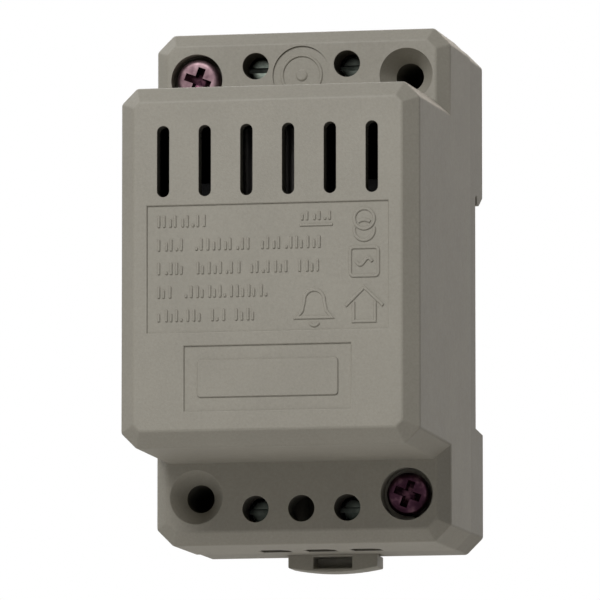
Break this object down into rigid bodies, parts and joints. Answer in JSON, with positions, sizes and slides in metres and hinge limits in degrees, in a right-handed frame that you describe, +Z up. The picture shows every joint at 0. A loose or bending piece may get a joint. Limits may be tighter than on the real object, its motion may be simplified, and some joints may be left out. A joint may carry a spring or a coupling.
{
  "type": "rail-mounted bell transformer",
  "caption": "Chamfered plastic transformer block with a vented nose, screw terminals in stepped shoulders and a sprung clip that snaps on a rail.",
  "frame": {"origin": "middle of the seat that bears on the rail", "axes": "+X right as seen from the front, +Y to the back (the rail), +Z up"},
  "size_m": [0.045, 0.053, 0.0797],
  "materials": {
    "housing": "fine matt",
    "clip": "fine matt",
    "plated_screw": "passivated zinc",
    "terminal_steel": "zinc plated",
    "busbar_brass": "plain",
    "spring_steel": "rolled strip",
    "core_steel": "varnished",
    "bobbin": "moulded nylon",
    "copper": "enamelled copper wire",
    "tape": "polyester film",
    "link": "plain",
    "primary_insulation": "wire insulation",
    "secondary_insulation": "wire insulation"
  },
  "bodies": {
    "housing": {"front_cover": "housing", "base": "housing", "cover_screws": "plated_screw", "clip_spring": "spring_steel", "core_e_stack": "core_steel", "core_i_stack": "core_steel", "bobbin": "bobbin", "primary_winding": "copper", "secondary_winding": "copper", "primary_tape": "tape", "secondary_tape": "tape", "thermal_link": "link", "primary_busbar_left": "busbar_brass", "primary_lead_left": "primary_insulation", "primary_busbar_right": "busbar_brass", "primary_lead_right": "primary_insulation", "secondary_busbar_left": "busbar_brass", "secondary_lead_left": "secondary_insulation", "secondary_busbar_right": "busbar_brass", "secondary_lead_right": "secondary_insulation"},
    "rail_clip": {"rail_clip": "clip"},
    "primary_screw_left": {"primary_screw_left": "terminal_steel"},
    "primary_cage_left": {"primary_cage_left": "terminal_steel"},
    "primary_screw_right": {"primary_screw_right": "terminal_steel"},
    "primary_cage_right": {"primary_cage_right": "terminal_steel"},
    "secondary_screw_left": {"secondary_screw_left": "terminal_steel"},
    "secondary_cage_left": {"secondary_cage_left": "terminal_steel"},
    "secondary_screw_right": {"secondary_screw_right": "terminal_steel"},
    "secondary_cage_right": {"secondary_cage_right": "terminal_steel"}
  },
  "joints": [
    {"name": "rail_clip_slide", "type": "slide", "parent": "housing", "child": "rail_clip", "axis": [0, 0, -1], "range_m": [0, 0.004], "stiffness_N_per_m": 1200, "springref_m": -0.004, "deforming": ["clip_spring"]},
    {"name": "primary_screw_left_turn", "type": "hinge", "parent": "housing", "child": "primary_screw_left", "pos_m": [-0.007, -0.0155, 0.0354], "axis": [0, 1, 0], "range_deg": [0, 2020]},
    {"name": "primary_cage_left_lift", "type": "slide", "parent": "housing", "child": "primary_cage_left", "axis": [0, -1, 0], "range_m": [0, 0.0028]},
    {"name": "primary_screw_right_turn", "type": "hinge", "parent": "housing", "child": "primary_screw_right", "pos_m": [0.007, -0.0155, 0.0354], "axis": [0, 1, 0], "range_deg": [0, 2020]},
    {"name": "primary_cage_right_lift", "type": "slide", "parent": "housing", "child": "primary_cage_right", "axis": [0, -1, 0], "range_m": [0, 0.0028]},
    {"name": "secondary_screw_left_turn", "type": "hinge", "parent": "housing", "child": "secondary_screw_left", "pos_m": [-0.007, -0.0155, -0.0314], "axis": [0, 1, 0], "range_deg": [0, 2020]},
    {"name": "secondary_cage_left_lift", "type": "slide", "parent": "housing", "child": "secondary_cage_left", "axis": [0, -1, 0], "range_m": [0, 0.0028]},
    {"name": "secondary_screw_right_turn", "type": "hinge", "parent": "housing", "child": "secondary_screw_right", "pos_m": [0.007, -0.0155, -0.0314], "axis": [0, 1, 0], "range_deg": [0, 2020]},
    {"name": "secondary_cage_right_lift", "type": "slide", "parent": "housing", "child": "secondary_cage_right", "axis": [0, -1, 0], "range_m": [0, 0.0028]}
  ],
  "couplings": [
    {"joint": "primary_screw_left_turn", "follows": "primary_cage_left_lift", "rad_per_m": 12566},
    {"joint": "primary_screw_right_turn", "follows": "primary_cage_right_lift", "rad_per_m": 12566},
    {"joint": "secondary_screw_left_turn", "follows": "secondary_cage_left_lift", "rad_per_m": 12566},
    {"joint": "secondary_screw_right_turn", "follows": "secondary_cage_right_lift", "rad_per_m": 12566}
  ]
}
